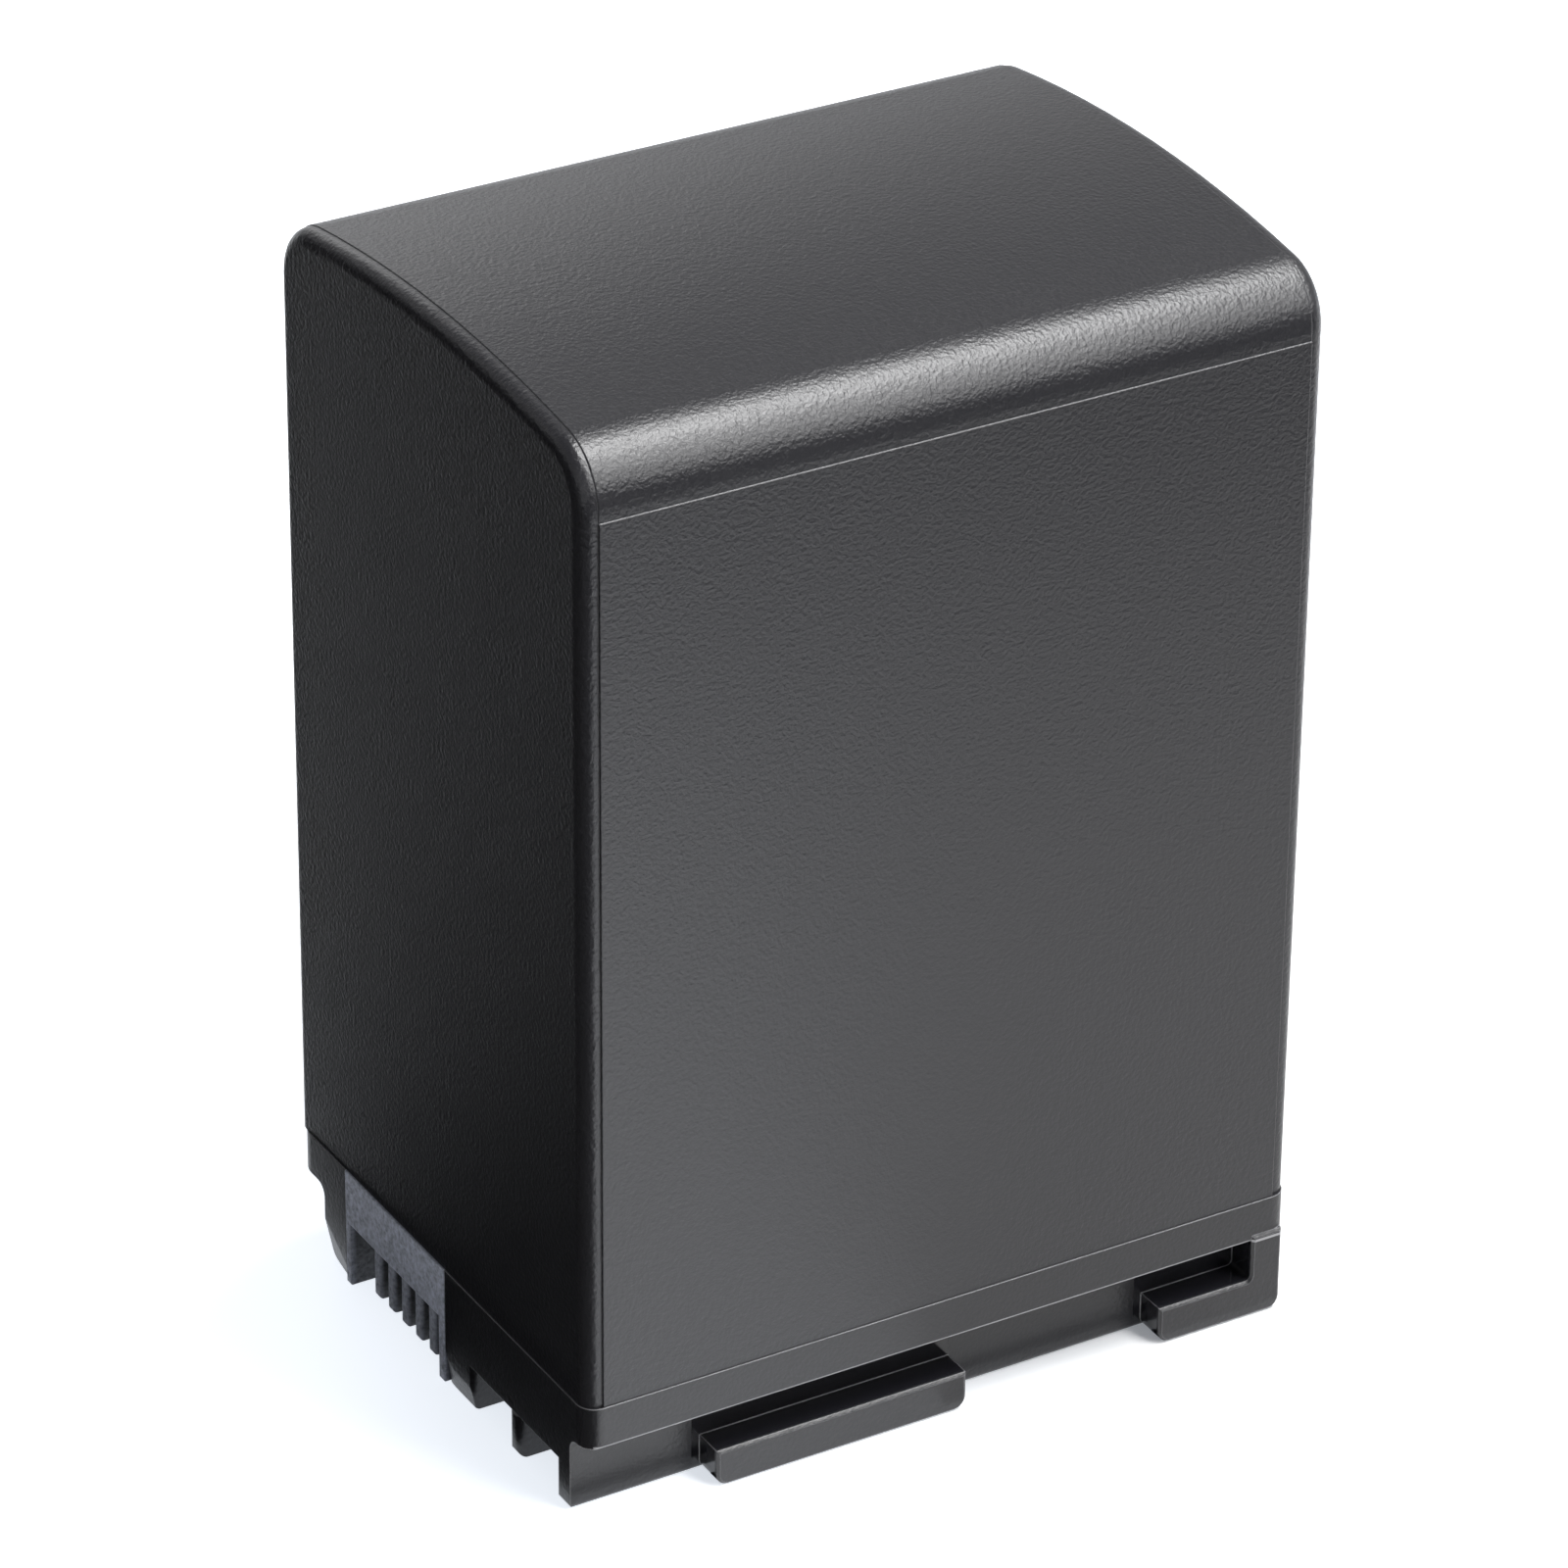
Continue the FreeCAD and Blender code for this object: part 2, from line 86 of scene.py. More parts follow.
def add_math(nodes, link, operation, *values):
    step = nodes.new("ShaderNodeMath")
    step.operation = operation
    for socket, value in zip(step.inputs, values):
        feed(link, socket, value)
    return step.outputs["Value"]


def add_scaled(nodes, link, vector, factor):
    step = nodes.new("ShaderNodeVectorMath")
    step.operation = "SCALE"
    link(vector, step.inputs[0])
    link(factor, step.inputs["Scale"])
    return step.outputs["Vector"]


def add_group(nodes, group, values):
    step = nodes.new("ShaderNodeGroup")
    step.node_tree = group
    for label, value in values.items():
        step.inputs[label].default_value = value
    return step


def add_relief(nodes, link, marks, depth):
    relief = nodes.new("ShaderNodeBump")
    relief.name = "relief"
    relief.inputs["Distance"].default_value = depth
    link(marks, relief.inputs["Height"])
    link(relief.outputs["Normal"], nodes["Principled BSDF"].inputs["Normal"])
    return relief


uneven = [("Colour", "NodeSocketColor"), ("Unevenness", "NodeSocketFloat"), ("Roughness", "NodeSocketFloat")]
surface = [("Colour", "NodeSocketColor"), ("Roughness", "NodeSocketFloat"), ("Height", "NodeSocketFloat")]


def spread_marks(nodes, link, marks, start, end):
    swing = add_math(nodes, link, "SUBTRACT", marks, noise_middle)
    level = add_math(nodes, link, "MULTIPLY_ADD", swing, start["Unevenness"], 1.0)
    link(add_scaled(nodes, link, start["Colour"], level), end["Colour"])
    link(add_math(nodes, link, "DIVIDE", start["Roughness"], level), end["Roughness"])
    link(marks, end["Height"])


def drawn_lines():
    given = [("Lines", "NodeSocketVector"), *uneven]
    group, nodes, link, start, end = new_group("drawn_lines", given, surface)
    stretch = nodes.new("ShaderNodeVectorMath")
    stretch.operation = "MULTIPLY"
    link(nodes.new("ShaderNodeTexCoord").outputs["Object"], stretch.inputs[0])
    link(start["Lines"], stretch.inputs[1])
    streaks = nodes.new("ShaderNodeTexNoise")
    streaks.inputs["Scale"].default_value = 1.0
    streaks.inputs["Detail"].default_value = 3.0
    link(stretch.outputs["Vector"], streaks.inputs["Vector"])
    spread_marks(nodes, link, streaks.outputs["Fac"], start, end)
    return group


metal_lines = drawn_lines()


def metal_finish(name, colour, lines, roughness, depth):
    material, nodes, link = new_finish(name)
    skin = nodes["Principled BSDF"]
    skin.inputs["Metallic"].default_value = 1.0
    values = {"Lines": lines, "Colour": (*colour, 1), "Unevenness": metal_unevenness, "Roughness": roughness}
    marks = add_group(nodes, metal_lines, values)
    link(marks.outputs["Colour"], skin.inputs["Base Color"])
    link(marks.outputs["Roughness"], skin.inputs["Roughness"])
    add_relief(nodes, link, marks.outputs["Height"], depth)
    return material


can_metal = metal_finish("cell_can", can_colour, can_lines, can_roughness, can_line_depth)
put_on(can_metal, "cell_1", "cell_2", "cell_3", "cell_4")

# Straps: thin nickel strip, slit from a roll and spot welded to the cells' buttons and pads.
# Rolling marks run along the strip, front to back, and the tabs are bent down to the board.
strap_colour = (0.56, 0.54, 0.50)
strap_lines = (4200.0, 120.0, 4200.0)   # marks per metre, fewest along the roll
strap_roughness = 0.38
strap_line_depth = 0.000002

strap_metal = metal_finish("nickel", strap_colour, strap_lines, strap_roughness, strap_line_depth)
put_on(strap_metal, "strap_negative", "strap_middle", "strap_positive")

# Insulator plate: stiff pressed-fibre sheet that keeps the straps off the board, cut by a die.
# Short pale fibres lie flat in it in every direction.
fibre_shades = ((0.35, (0.30, 0.31, 0.27)), (0.65, (0.47, 0.48, 0.43)))     # level of a mark, and colour
fibre_scale = (1500.0, 1500.0, 9000.0)  # marks per metre, most through the sheet
fibre_roughness = 0.8
fibre_depth = 0.00002


def two_shades(nodes, link, marks, shades, roughness, depth):
    ramp = nodes.new("ShaderNodeValToRGB")
    for stop, (level, colour) in zip(ramp.color_ramp.elements, shades):
        stop.position = level
        stop.color = (*colour, 1)
    skin = nodes["Principled BSDF"]
    skin.inputs["Roughness"].default_value = roughness
    link(marks, ramp.inputs["Fac"])
    link(ramp.outputs["Color"], skin.inputs["Base Color"])
    add_relief(nodes, link, marks, depth)


fibre_sheet, nodes, link = new_finish("insulator")
flatten = nodes.new("ShaderNodeMapping")
flatten.inputs["Scale"].default_value = fibre_scale
link(nodes.new("ShaderNodeTexCoord").outputs["Object"], flatten.inputs["Vector"])
fibres = nodes.new("ShaderNodeTexNoise")
fibres.inputs["Scale"].default_value = 1.0
fibres.inputs["Detail"].default_value = 5.0
fibres.inputs["Distortion"].default_value = 1.5
link(flatten.outputs["Vector"], fibres.inputs["Vector"])
two_shades(nodes, link, fibres.outputs["Fac"], fibre_shades, fibre_roughness, fibre_depth)
put_on(fibre_sheet, "insulator_plate")

# Foam pad: open-cell polyurethane glued under the crown, squeezed between the cells and the case.
# Its pores are about half a millimetre wide, with painted shade inside them and paler skins between them.
foam_skin_and_pore_shade = ((0.1, (0.012, 0.012, 0.013)), (0.6, (0.085, 0.085, 0.09)))
foam_pores = 1900.0                     # per metre
foam_roughness = 0.95
foam_depth = 0.00015

foam_skin, nodes, link = new_finish("foam")
pores = nodes.new("ShaderNodeTexVoronoi")
pores.inputs["Scale"].default_value = foam_pores
link(nodes.new("ShaderNodeTexCoord").outputs["Object"], pores.inputs["Vector"])
two_shades(nodes, link, pores.outputs["Distance"], foam_skin_and_pore_shade, foam_roughness, foam_depth)
put_on(foam_skin, "foam_pad")

# Circuit board: glass-cloth laminate under green solder resist, resting on four posts of the base.
# The cloth's weave shows faintly through the resist.
resist_shades = ((0.0, (0.012, 0.075, 0.030)), (1.0, (0.022, 0.125, 0.052)))
resist_roughness = 0.3
weave_scale = 330.0
weave_waver = 0.6                       # how far the threads leave straight lines
weave_depth = 0.000008

board_resist, nodes, link = new_finish("board")
place = nodes.new("ShaderNodeTexCoord")
threads = []
for across in ("X", "Y"):
    thread = nodes.new("ShaderNodeTexWave")
    thread.bands_direction = across
    thread.inputs["Scale"].default_value = weave_scale
    thread.inputs["Distortion"].default_value = weave_waver
    link(place.outputs["Object"], thread.inputs["Vector"])
    threads.append(thread.outputs["Fac"])
weave = add_math(nodes, link, "MULTIPLY", *threads)
two_shades(nodes, link, weave, resist_shades, resist_roughness, weave_depth)
put_on(board_resist, "circuit_board")

# Packaged circuits: protection and gauge chips and two switching transistors, soldered to the board.
# The packages are black filled epoxy, and the eroded mould gives them a fine matt grain.
epoxy_colour = (0.018, 0.018, 0.019)
epoxy_highlight_colour = (0.03, 0.03, 0.03)
resin_ior = 1.58
highlight_paint_none = (0.985, 0.0)              # cosine of the turn across an edge, and share painted pale as a highlight
highlight_paint_most = (0.80, 1.0)
edge_samples = 6
mix_share, mix_plain, mix_other, mix_result = 0, 6, 7, 2     # sockets of a Mix node for colours


def eroded_grain():
    given = [("Pits", "NodeSocketFloat"), *uneven]
    group, nodes, link, start, end = new_group("eroded_grain", given, surface)
    pits = nodes.new("ShaderNodeTexNoise")
    pits.inputs["Detail"].default_value = 2.0
    pits.inputs["Roughness"].default_value = 0.55
    link(nodes.new("ShaderNodeTexCoord").outputs["Object"], pits.inputs["Vector"])
    link(start["Pits"], pits.inputs["Scale"])
    spread_marks(nodes, link, pits.outputs["Fac"], start, end)
    return group


def add_range(nodes, link, value, start, end, smooth=True):
    step = nodes.new("ShaderNodeMapRange")
    step.interpolation_type = "SMOOTHSTEP" if smooth else "LINEAR"
    for socket, given in zip(step.inputs, (value, start[0], end[0], start[1], end[1])):
        feed(link, socket, given)
    return step.outputs["Result"]


# Rounds the shading at edges with a bevel, and gives the share of each edge painted pale as a highlight.
def painted_edge_highlights():
    shown = [("Normal", "NodeSocketVector"), ("Painted highlight", "NodeSocketFloat")]
    group, nodes, link, start, end = new_group("painted_edge_highlights", [("Radius", "NodeSocketFloat")], shown)
    bevelled = nodes.new("ShaderNodeBevel")
    bevelled.samples = edge_samples
    link(start["Radius"], bevelled.inputs["Radius"])
    turn = nodes.new("ShaderNodeVectorMath")
    turn.operation = "DOT_PRODUCT"
    link(bevelled.outputs["Normal"], turn.inputs[0])
    link(nodes.new("ShaderNodeNewGeometry").outputs["Normal"], turn.inputs[1])
    link(bevelled.outputs["Normal"], end["Normal"])
    link(add_range(nodes, link, turn.outputs["Value"], highlight_paint_none, highlight_paint_most), end["Painted highlight"])
    return group


mould_grain = eroded_grain()
edge_highlight_paint = painted_edge_highlights()


def add_paint(nodes, link, share, plain, other):
    paint = nodes.new("ShaderNodeMix")
    paint.name = "paint"
    paint.data_type = "RGBA"
    link(share, paint.inputs[mix_share])
    link(plain, paint.inputs[mix_plain])
    paint.inputs[mix_other].default_value = (*other, 1)
    link(paint.outputs[mix_result], nodes["Principled BSDF"].inputs["Base Color"])


# Pits are given per metre, and the grain's depth and the edges' radius in metres
def moulded(name, colour, highlight_colour, pits, unevenness, roughness, depth, edge):
    material, nodes, link = new_finish(name)
    skin = nodes["Principled BSDF"]
    skin.inputs["IOR"].default_value = resin_ior
    values = {"Pits": pits, "Colour": (*colour, 1), "Unevenness": unevenness, "Roughness": roughness}
    grain = add_group(nodes, mould_grain, values)
    edges = add_group(nodes, edge_highlight_paint, {"Radius": edge})
    link(grain.outputs["Roughness"], skin.inputs["Roughness"])
    relief = add_relief(nodes, link, grain.outputs["Height"], depth)
    link(edges.outputs["Normal"], relief.inputs["Normal"])
    add_paint(nodes, link, edges.outputs["Painted highlight"], grain.outputs["Colour"], highlight_colour)
    return material, nodes, link


# Painted highlights make the chips' edges faintly pale.
epoxy, _, _ = moulded(
    "chip_epoxy", epoxy_colour, epoxy_highlight_colour,
    pits=9000.0, unevenness=0.4, roughness=0.55, depth=0.000006, edge=0.00004)
put_on(epoxy, "protection_ic", "gauge_ic", "charge_mosfet", "discharge_mosfet")

# Chip resistor, fuse and thermistor: ceramic blocks with tinned ends, soldered flat on the board.
# The tin wraps round both ends and leaves the coated ceramic bare between them.
tin_colour = (0.60, 0.60, 0.58)
tin_share = 0.34                        # of the half length
ceramic_roughness = 0.45
ceramic_unevenness = 0.5
ceramic_pits = 7000.0                   # per metre
along_x, along_y = (1.0, 0.0, 0.0), (0.0, 1.0, 0.0)


def tinned_ends():
    given = [("Middle", "NodeSocketVector"), ("Along", "NodeSocketVector"), ("Bare half", "NodeSocketFloat")]
    group, nodes, link, start, end = new_group("tinned_ends", given, [("Tin", "NodeSocketFloat")])
    from_middle = nodes.new("ShaderNodeVectorMath")
    from_middle.operation = "SUBTRACT"
    link(nodes.new("ShaderNodeTexCoord").outputs["Object"], from_middle.inputs[0])
    link(start["Middle"], from_middle.inputs[1])
    along = nodes.new("ShaderNodeVectorMath")
    along.operation = "DOT_PRODUCT"
    link(from_middle.outputs["Vector"], along.inputs[0])
    link(start["Along"], along.inputs[1])
    distance = add_math(nodes, link, "ABSOLUTE", along.outputs["Value"])
    link(add_math(nodes, link, "GREATER_THAN", distance, start["Bare half"]), end["Tin"])
    return group


tin_wrap = tinned_ends()


def ceramic_chip(node, along, colour):
    low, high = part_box(node)
    half_length = (high - low).dot(Vector(along)) / 2
    material, nodes, link = new_finish("ceramic_" + node)
    wrap = {"Middle": (low + high) / 2, "Along": along, "Bare half": half_length * (1 - tin_share)}
    ends = add_group(nodes, tin_wrap, wrap)
    values = {"Pits": ceramic_pits, "Colour": (*colour, 1), "Unevenness": ceramic_unevenness}
    grain = add_group(nodes, mould_grain, {**values, "Roughness": ceramic_roughness})
    add_paint(nodes, link, ends.outputs["Tin"], grain.outputs["Colour"], tin_colour)
    skin = nodes["Principled BSDF"]
    link(grain.outputs["Roughness"], skin.inputs["Roughness"])
    link(ends.outputs["Tin"], skin.inputs["Metallic"])
    put_on(material, node)


ceramic_chip("sense_resistor", along_x, (0.020, 0.020, 0.022))
ceramic_chip("chip_fuse", along_y, (0.42, 0.40, 0.36))
ceramic_chip("thermistor", along_x, (0.10, 0.055, 0.035))

# Blade contacts: five stamped and formed springs of plated bronze, one in each slot of the comb.
# Their leaves grip the camera's blades, and their tails are soldered to the board.
contact_nodes = [f"blade_contact_{i}" for i in range(1, 6)]
contact_low, contact_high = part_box(contact_nodes[0])
contact_next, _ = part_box(contact_nodes[1])
contact_size = contact_high - contact_low
contact_middle = (contact_low + contact_high) / 2
contact_tail = (0.0034, 0.0005, 0.0002)     # length, width and thickness
contact_strip = 0.00015
contact_pinch = 0.00006                 # how far each leaf bows in to grip
bend_share = 0.06                       # of the half strip, taken by the web between the leaves
grip_start = 0.3                        # of the half strip, where a leaf begins to bow in
grip_peak = 0.75                        # and where it bows in most
path_points = 40
plating_colour = (0.66, 0.55, 0.34)
plating_lines = (180.0, 5200.0, 5200.0)     # marks per metre, fewest along the strip
plating_roughness = 0.32
plating_line_depth = 0.000002


def contact_row():
    tree = bpy.data.node_groups.new("contact_row", "GeometryNodeTree")
    add = tree.nodes.new
    link = tree.links.new
    given = [("First", "NodeSocketVector"), ("Pitch", "NodeSocketFloat"), ("Count", "NodeSocketInt")]
    given += [("Length", "NodeSocketFloat"), ("Width", "NodeSocketFloat"), ("Height", "NodeSocketFloat")]
    given += [("Strip", "NodeSocketFloat"), ("Pinch", "NodeSocketFloat"), ("Tail", "NodeSocketVector")]
    given.append(("Metal", "NodeSocketMaterial"))
    for label, kind in given:
        tree.interface.new_socket(label, in_out="INPUT", socket_type=kind)
    tree.interface.new_socket("Geometry", in_out="OUTPUT", socket_type="NodeSocketGeometry")
    size = add("NodeGroupInput").outputs

    def compute(operation, *values):
        return add_math(tree.nodes, link, operation, *values)

    def half(value):
        return compute("MULTIPLY", value, 0.5)

    def minus(value):
        return compute("MULTIPLY", value, -1)

    def ranged(value, start, end, smooth=False):
        return add_range(tree.nodes, link, value, start, end, smooth)

    def vector(x, y, z):
        step = add("ShaderNodeCombineXYZ")
        for socket, value in zip(step.inputs, (x, y, z)):
            feed(link, socket, value)
        return step.outputs["Vector"]

    # One strip bent to a U: along the left leaf, across the web, along the right leaf
    strip = add("GeometryNodeMeshLine")
    strip.inputs["Count"].default_value = path_points
    place = ranged(add("GeometryNodeInputIndex").outputs["Index"], (0, -1), (path_points - 1, 1))
    out = compute("ABSOLUTE", place)
    half_strip = half(size["Strip"])
    half_width = compute("SUBTRACT", half(size["Width"]), half_strip)
    x = ranged(out, (bend_share, minus(half_strip)), (1, minus(size["Length"])))
    bow_in = ranged(out, (grip_start, 0), (grip_peak, 1), smooth=True)
    bow_out = ranged(out, (grip_peak, 1), (1, 0), smooth=True)
    bow = compute("MULTIPLY", compute("MULTIPLY", bow_in, bow_out), size["Pinch"])
    spread = compute("SUBTRACT", ranged(out, (0, 0), (bend_share, half_width)), bow)
    shaped = add("GeometryNodeSetPosition")
    link(strip.outputs["Mesh"], shaped.inputs["Geometry"])
    link(vector(x, compute("MULTIPLY", compute("SIGN", place), spread), 0), shaped.inputs["Position"])
    path = add("GeometryNodeMeshToCurve")
    link(shaped.outputs["Geometry"], path.inputs["Mesh"])
    upright = add("GeometryNodeSetCurveNormal")
    upright.mode = "Z_UP"
    link(path.outputs["Curve"], upright.inputs["Curve"])
    section = add("GeometryNodeCurvePrimitiveQuadrilateral")
    link(size["Strip"], section.inputs["Width"])
    link(size["Height"], section.inputs["Height"])
    leaves = add("GeometryNodeCurveToMesh")
    link(upright.outputs["Curve"], leaves.inputs["Curve"])
    link(section.outputs["Curve"], leaves.inputs["Profile Curve"])
    leaves.inputs["Fill Caps"].default_value = True

    # Flat tail from the web's top edge onto the board
    bar = add("GeometryNodeMeshCube")
    link(size["Tail"], bar.inputs["Size"])
    tail = add("ShaderNodeSeparateXYZ")
    link(size["Tail"], tail.inputs["Vector"])
    lift = half(compute("SUBTRACT", size["Height"], tail.outputs["Z"]))
    moved = add("GeometryNodeTransform")
    link(bar.outputs["Mesh"], moved.inputs["Geometry"])
    link(vector(half(tail.outputs["X"]), 0, lift), moved.inputs["Translation"])
    contact = add("GeometryNodeJoinGeometry")
    link(leaves.outputs["Mesh"], contact.inputs["Geometry"])
    link(moved.outputs["Geometry"], contact.inputs["Geometry"])

    # The row: one contact to each slot of the comb
    slots = add("GeometryNodeMeshLine")
    link(size["Count"], slots.inputs["Count"])
    link(size["First"], slots.inputs["Start Location"])
    link(vector(0, size["Pitch"], 0), slots.inputs["Offset"])
    row = add("GeometryNodeInstanceOnPoints")
    link(slots.outputs["Mesh"], row.inputs["Points"])
    link(contact.outputs["Geometry"], row.inputs["Instance"])
    whole = add("GeometryNodeRealizeInstances")
    link(row.outputs["Instances"], whole.inputs["Geometry"])
    plated = add("GeometryNodeSetMaterial")
    link(whole.outputs["Geometry"], plated.inputs["Geometry"])
    link(size["Metal"], plated.inputs["Material"])
    link(plated.outputs["Geometry"], add("NodeGroupOutput").inputs["Geometry"])
    return tree


def grown(name, tree, values):
    seed = bpy.data.objects.new(name, bpy.data.meshes.new(name + "_seed"))
    scene.collection.objects.link(seed)
    maker = seed.modifiers.new("maker", "NODES")
    maker.node_group = tree
    for item in tree.interface.items_tree:
        if item.in_out == "INPUT":
            maker[item.identifier] = values[item.name]
    shown = seed.evaluated_get(bpy.context.evaluated_depsgraph_get())
    mesh = bpy.data.meshes.new_from_object(shown)
    mesh.materials.pop(index=mesh.materials[:].index(None))
    seed.modifiers.remove(maker)
    seed.data = mesh
    return seed


contact_values = {
    "First": Vector((contact_high.x - contact_tail[0], contact_middle.y, contact_middle.z)),
    "Pitch": contact_next.y - contact_low.y,
    "Count": len(contact_nodes),
    "Length": contact_size.x - contact_tail[0],
    "Width": contact_size.y,
    "Height": contact_size.z,
    "Strip": contact_strip,
    "Pinch": contact_pinch,
    "Tail": Vector(contact_tail),
    "Metal": metal_finish(
        "contact_plating", plating_colour, plating_lines, plating_roughness, plating_line_depth),
}
contacts = grown("contact_set", contact_row(), contact_values)
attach(contacts, "root")
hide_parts(*contact_nodes)

# Terminal block: a plain band over a comb of guard teeth, moulded in a glass-filled grey plastic.
# It is pushed into the base cover's bay. Its grain is coarser and paler than the case's. Painted shade
# darkens its slots inwards from the teeth's faces, and painted highlights make its edges pale.
block_colour = (0.40, 0.43, 0.52)
block_highlight_colour = (0.62, 0.66, 0.75)
block_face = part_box("terminal_block")[0].x
painted_shade_start = (block_face + 0.00004, 1.0)     # place along X, and share of the colour left there
painted_shade_full = (block_face + 0.0004, 0.1)


def place_on_piece(nodes, link):
    split = nodes.new("ShaderNodeSeparateXYZ")
    link(nodes.new("ShaderNodeTexCoord").outputs["Object"], split.inputs["Vector"])
    return split.outputs


block_plastic, nodes, link = moulded(
    "block_plastic", block_colour, block_highlight_colour,
    pits=4200.0, unevenness=1.6, roughness=0.55, depth=0.00004, edge=0.00012)
# Painted shade: the grain's colour is scaled down from the teeth's faces into the slots.
shade = add_range(nodes, link, place_on_piece(nodes, link)["X"], painted_shade_start, painted_shade_full)
plain = nodes["paint"].inputs[mix_plain]
link(add_scaled(nodes, link, plain.links[0].from_socket, shade), plain)
put_on(block_plastic, "terminal_block")

# Base cover: one black moulding with rim, rail walls, hook bars, keyed slots and terminal bay.
# It closes the case with a spigot. Its mould has the same eroded grain, a little finer, and is
# polished behind the bars. Pale highlights are painted on its edges and along the rim's lower edge.
plastic_colour = (0.0120, 0.0119, 0.0150)
plastic_roughness = 0.36
plastic_unevenness = 0.4
base_highlight_colour = (0.36, 0.36, 0.38)
slot_roughness = 0.14
slot_spans = ((-0.01335, 0.0012), (0.01205, 0.0185))     # along the slide, behind each bar
slot_depth = 0.0150                     # from the middle plane to just inside the bars' faces
rim_height = 0.0023
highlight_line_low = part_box("main_case")[0].z - rim_height
highlight_line_width = 0.00014


def between(nodes, link, value, low, high):
    return add_math(nodes, link, "COMPARE", value, (low + high) / 2, (high - low) / 2)


def rework(nodes, link, socket, operation, value):
    link(add_math(nodes, link, operation, socket.links[0].from_socket, value), socket)


base_plastic, nodes, link = moulded(
    "base_plastic", plastic_colour, base_highlight_colour,
    pits=4800.0, unevenness=plastic_unevenness, roughness=plastic_roughness, depth=0.000028, edge=0.00012)
place = place_on_piece(nodes, link)
behind = [between(nodes, link, place["X"], *span) for span in slot_spans]
inside = between(nodes, link, place["Y"], -slot_depth, slot_depth)
in_slot = add_math(nodes, link, "MULTIPLY", add_math(nodes, link, "MAXIMUM", *behind), inside)
polished = add_math(nodes, link, "MULTIPLY_ADD", in_slot, slot_roughness - 1, 1.0)
grained = add_math(nodes, link, "SUBTRACT", 1.0, in_slot)
# Painted highlight: a thin pale line along the rim's lower edge, on the outer faces only.
at_highlight_line = between(nodes, link, place["Z"], highlight_line_low, highlight_line_low + highlight_line_width)
on_face = add_math(nodes, link, "SUBTRACT", 1.0, inside)
painted_rim_highlight = add_math(nodes, link, "MULTIPLY", at_highlight_line, on_face)
rework(nodes, link, nodes["Principled BSDF"].inputs["Roughness"], "MINIMUM", polished)
rework(nodes, link, nodes["relief"].inputs["Height"], "MULTIPLY", grained)
rework(nodes, link, nodes["paint"].inputs[mix_share], "MAXIMUM", painted_rim_highlight)
put_on(base_plastic, "base_cover")

# Main case: one black moulded tub with an arched crown, set on the base cover at the parting line.
# The mould was spark eroded, which leaves a satin grain of shallow bumps on every face.
# Painted highlights make the case's edges pale.
case_highlight_colour = (0.16, 0.16, 0.17)

case_plastic, _, _ = moulded(
    "case_plastic", plastic_colour, case_highlight_colour,
    pits=4400.0, unevenness=plastic_unevenness, roughness=plastic_roughness, depth=0.000042, edge=0.00008)
put_on(case_plastic, "main_case")

# Studio floor: a plain white sheet under the pack. Where the camera or a reflection sees it, it
# glows to white. The glow is weakest beside the pack's right end, and keeps the shadow close by.
floor_half = 4.0
floor_gap = 0.00002                     # under the mating face
floor_colour = (0.8, 0.8, 0.8, 1)
floor_roughness = 0.9
glow_colour = (0.88, 0.93, 1, 1)
glow_middle = (0.04, -0.01, 0)
glow_near = (0.02, 0.2)                 # metres from there, and strength
glow_far = (0.075, 1.0)


def seen_directly(nodes, link):
    path = nodes.new("ShaderNodeLightPath")
    seen = add_math(nodes, link, "MAXIMUM", path.outputs["Is Camera Ray"], path.outputs["Is Glossy Ray"])
    return add_math(nodes, link, "MAXIMUM", seen, path.outputs["Is Transmission Ray"])


def flat_sheet(name, corners, material):
    mesh = bpy.data.meshes.new(name)
    mesh.from_pydata(corners, [], [range(len(corners))])
    mesh.materials.append(material)
    sheet = bpy.data.objects.new(name, mesh)
    scene.collection.objects.link(sheet)
    return sheet


def lying(outline, height):
    return [(x, y, height) for x, y in outline]


floor_paint, nodes, link = new_finish("floor_paint")
skin = nodes["Principled BSDF"]
skin.inputs["Base Color"].default_value = floor_colour
skin.inputs["Roughness"].default_value = floor_roughness
skin.inputs["Emission Color"].default_value = glow_colour
away = nodes.new("ShaderNodeVectorMath")
away.operation = "DISTANCE"
link(nodes.new("ShaderNodeTexCoord").outputs["Object"], away.inputs[0])
away.inputs[1].default_value = glow_middle
glow = add_range(nodes, link, away.outputs["Value"], glow_near, glow_far)
link(add_math(nodes, link, "MULTIPLY", seen_directly(nodes, link), glow), skin.inputs["Emission Strength"])
floor_outline = [(x * floor_half, y * floor_half) for x, y in ((-1, -1), (1, -1), (1, 1), (-1, 1))]
flat_sheet("floor", lying(floor_outline, -floor_gap), floor_paint)

# Studio light: four soft round lamps from overhead down to the front right, and one low behind.
# White surroundings show at the horizon. Cards that only reflections see keep the end, the slots and
# the line under the crown's radius dark, and the low lamp is flagged off the base cover.
lamp_distance = 0.55
lamp_size = 0.24
lamp_aim = Vector((0, 0, 0.03))
lamps = {                               # degrees round from the front, degrees up, watts
    "key_lamp": (60, 67, 2.6),
    "forward_lamp": (34, 49, 1.35),
    "low_lamp": (25, 28, 0.72),
    "top_lamp": (96, 68, 0.85),
    "back_lamp": (168, 25, 0.22),
}
room_fill = 0.15
horizon = (0.40, 0.7)                   # height of the direction, and strength there
ceiling = (0.70, 0.1)
black_shade = 0.01
grey_shade = 0.75
card_lift = 0.0004                      # over the floor
gap_lift = 0.0002
front_foot = ((-0.10, -0.170), (0.12, -0.076))      # of the card that stands in front
front_height = 0.072
gap_strip = ((-0.02, -0.0143), (0.05, -0.0143), (0.05, -0.0151), (-0.02, -0.0151))  # under the bars
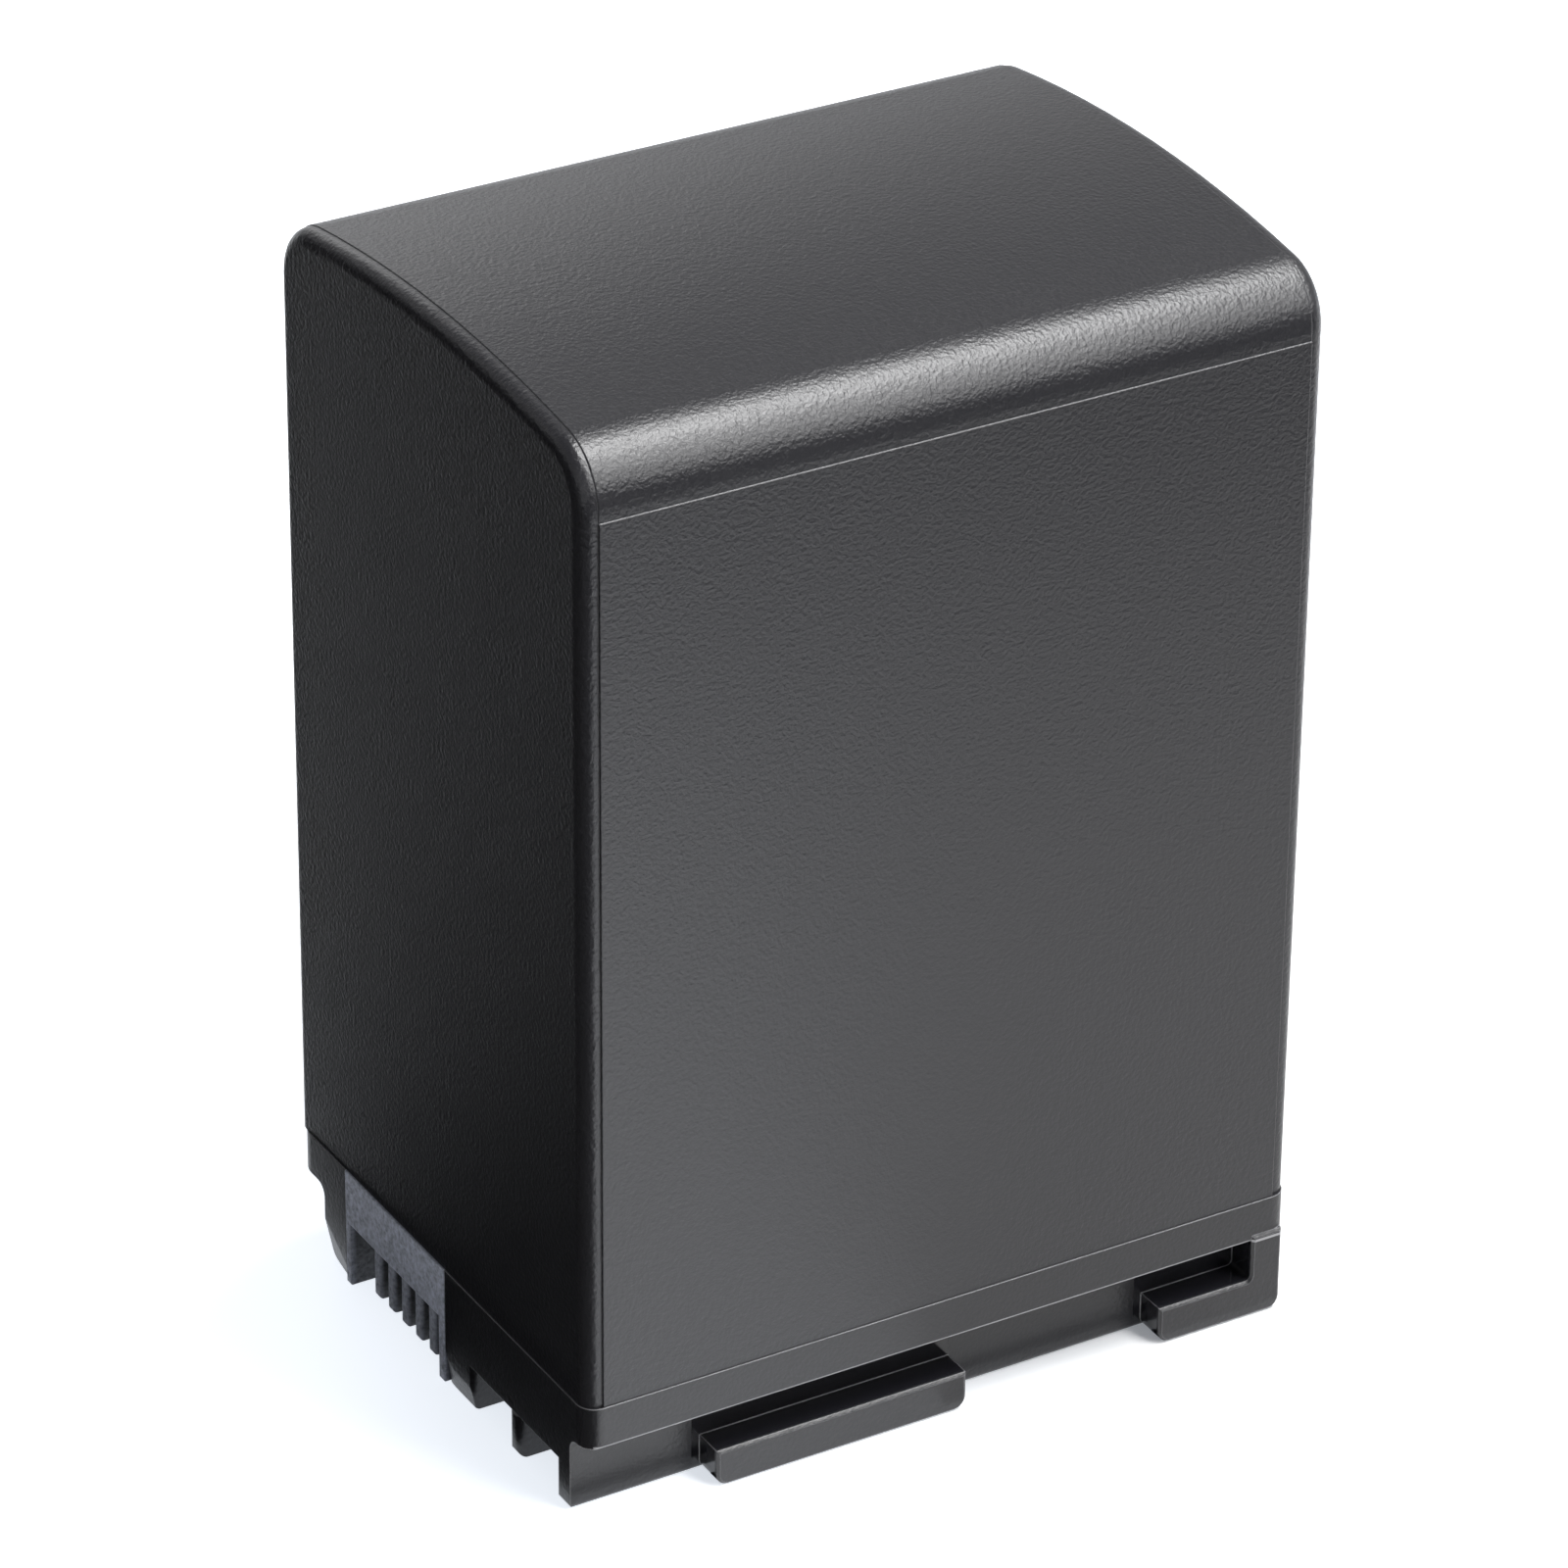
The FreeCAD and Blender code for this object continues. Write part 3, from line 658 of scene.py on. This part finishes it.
foot_wedge = ((0.0, -0.0155), (0.03, -0.097), (0.3, -0.097), (0.3, -0.0155))    # in front of the rail
room_left, room_front, room_back, room_height = -0.8, -0.3, 0.8, 0.4    # a dark corner left of the pack
end_edge = ((-0.0205, room_front), (-0.0205, 0.007), (-0.135, room_back))   # right edge of its floor
back_end = -0.145                       # right end of its back wall


def direction(azimuth, elevation):
    flat = math.cos(elevation)
    return Vector((math.sin(azimuth) * flat, -math.cos(azimuth) * flat, math.sin(elevation)))


shaded = bpy.data.collections.new("shaded_from_front")
shaded.objects.link(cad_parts["base_cover"])
shaded.collection_objects[0].light_linking.link_state = "EXCLUDE"
for name, (azimuth, elevation, watts) in lamps.items():
    lamp = bpy.data.lights.new(name, "AREA")
    lamp.shape = "DISK"
    lamp.size = lamp_size
    lamp.energy = watts
    stand = bpy.data.objects.new(name, lamp)
    towards = direction(math.radians(azimuth), math.radians(elevation))
    stand.location = lamp_aim + towards * lamp_distance
    stand.rotation_euler = (-towards).to_track_quat("-Z", "Y").to_euler()
    scene.collection.objects.link(stand)
    if name == "low_lamp":
        stand.light_linking.receiver_collection = shaded

world = bpy.data.worlds.new("studio")
world.use_nodes = True
nodes = world.node_tree.nodes
link = world.node_tree.links.new
height = nodes.new("ShaderNodeSeparateXYZ")
link(nodes.new("ShaderNodeTexCoord").outputs["Generated"], height.inputs["Vector"])
wall = add_range(nodes, link, height.outputs["Z"], horizon, ceiling)
shown = add_math(nodes, link, "MULTIPLY", seen_directly(nodes, link), wall)
link(add_math(nodes, link, "MAXIMUM", shown, room_fill), nodes["Background"].inputs["Strength"])
nodes["Background"].inputs["Color"].default_value = (1, 1, 1, 1)
scene.world = world


def card_finish(name, shade):
    material, nodes, _ = new_finish(name)
    nodes["Principled BSDF"].inputs["Base Color"].default_value = (shade, shade, shade, 1)
    nodes["Principled BSDF"].inputs["Roughness"].default_value = 1.0
    return material


def standing(foot, height):
    return lying(foot, 0) + lying(reversed(foot), height)


card_black = card_finish("card_black", black_shade)
card_grey = card_finish("card_grey", grey_shade)
cards = {
    "front_card": standing(front_foot, front_height),
    "gap_card": lying(gap_strip, gap_lift),
    "foot_card": lying(foot_wedge, card_lift),
    "end_card": lying(((room_left, room_front), *end_edge, (room_left, room_back)), card_lift),
    "side_card": standing(((room_left, room_front), (room_left, room_back)), room_height),
    "back_card": standing(((room_left, room_back), (back_end, room_back)), room_height),
}
for name, corners in cards.items():
    card = flat_sheet(name, corners, card_grey if name == "foot_card" else card_black)
    card.visible_camera = False
    card.visible_diffuse = False
    card.visible_shadow = False
    card.visible_transmission = False

# Camera: a long lens from the front left, a little above, as the pack was photographed.
# Its place, turn and focal length were fitted to the photograph's edges.
camera_azimuth = math.radians(-30.545)
camera_elevation = math.radians(29.362)
camera_roll = math.radians(0.607)
camera_place = Vector((-0.16206, -0.27368, 0.20699))
camera_sensor = 36.0                    # millimetres
camera_length = 171.37

back = direction(camera_azimuth, camera_elevation)
level = Vector((0, 0, 1)).cross(back).normalized()
upward = back.cross(level)
right = level * math.cos(camera_roll) + upward * math.sin(camera_roll)
top = upward * math.cos(camera_roll) - level * math.sin(camera_roll)
lens = bpy.data.cameras.new("camera")
lens.sensor_width = camera_sensor
lens.lens = camera_length
camera = bpy.data.objects.new("camera", lens)
camera.matrix_world = Matrix.Translation(camera_place) @ Matrix((right, top, back)).transposed().to_4x4()
scene.collection.objects.link(camera)
scene.camera = camera
scene.view_settings.view_transform = "Standard"
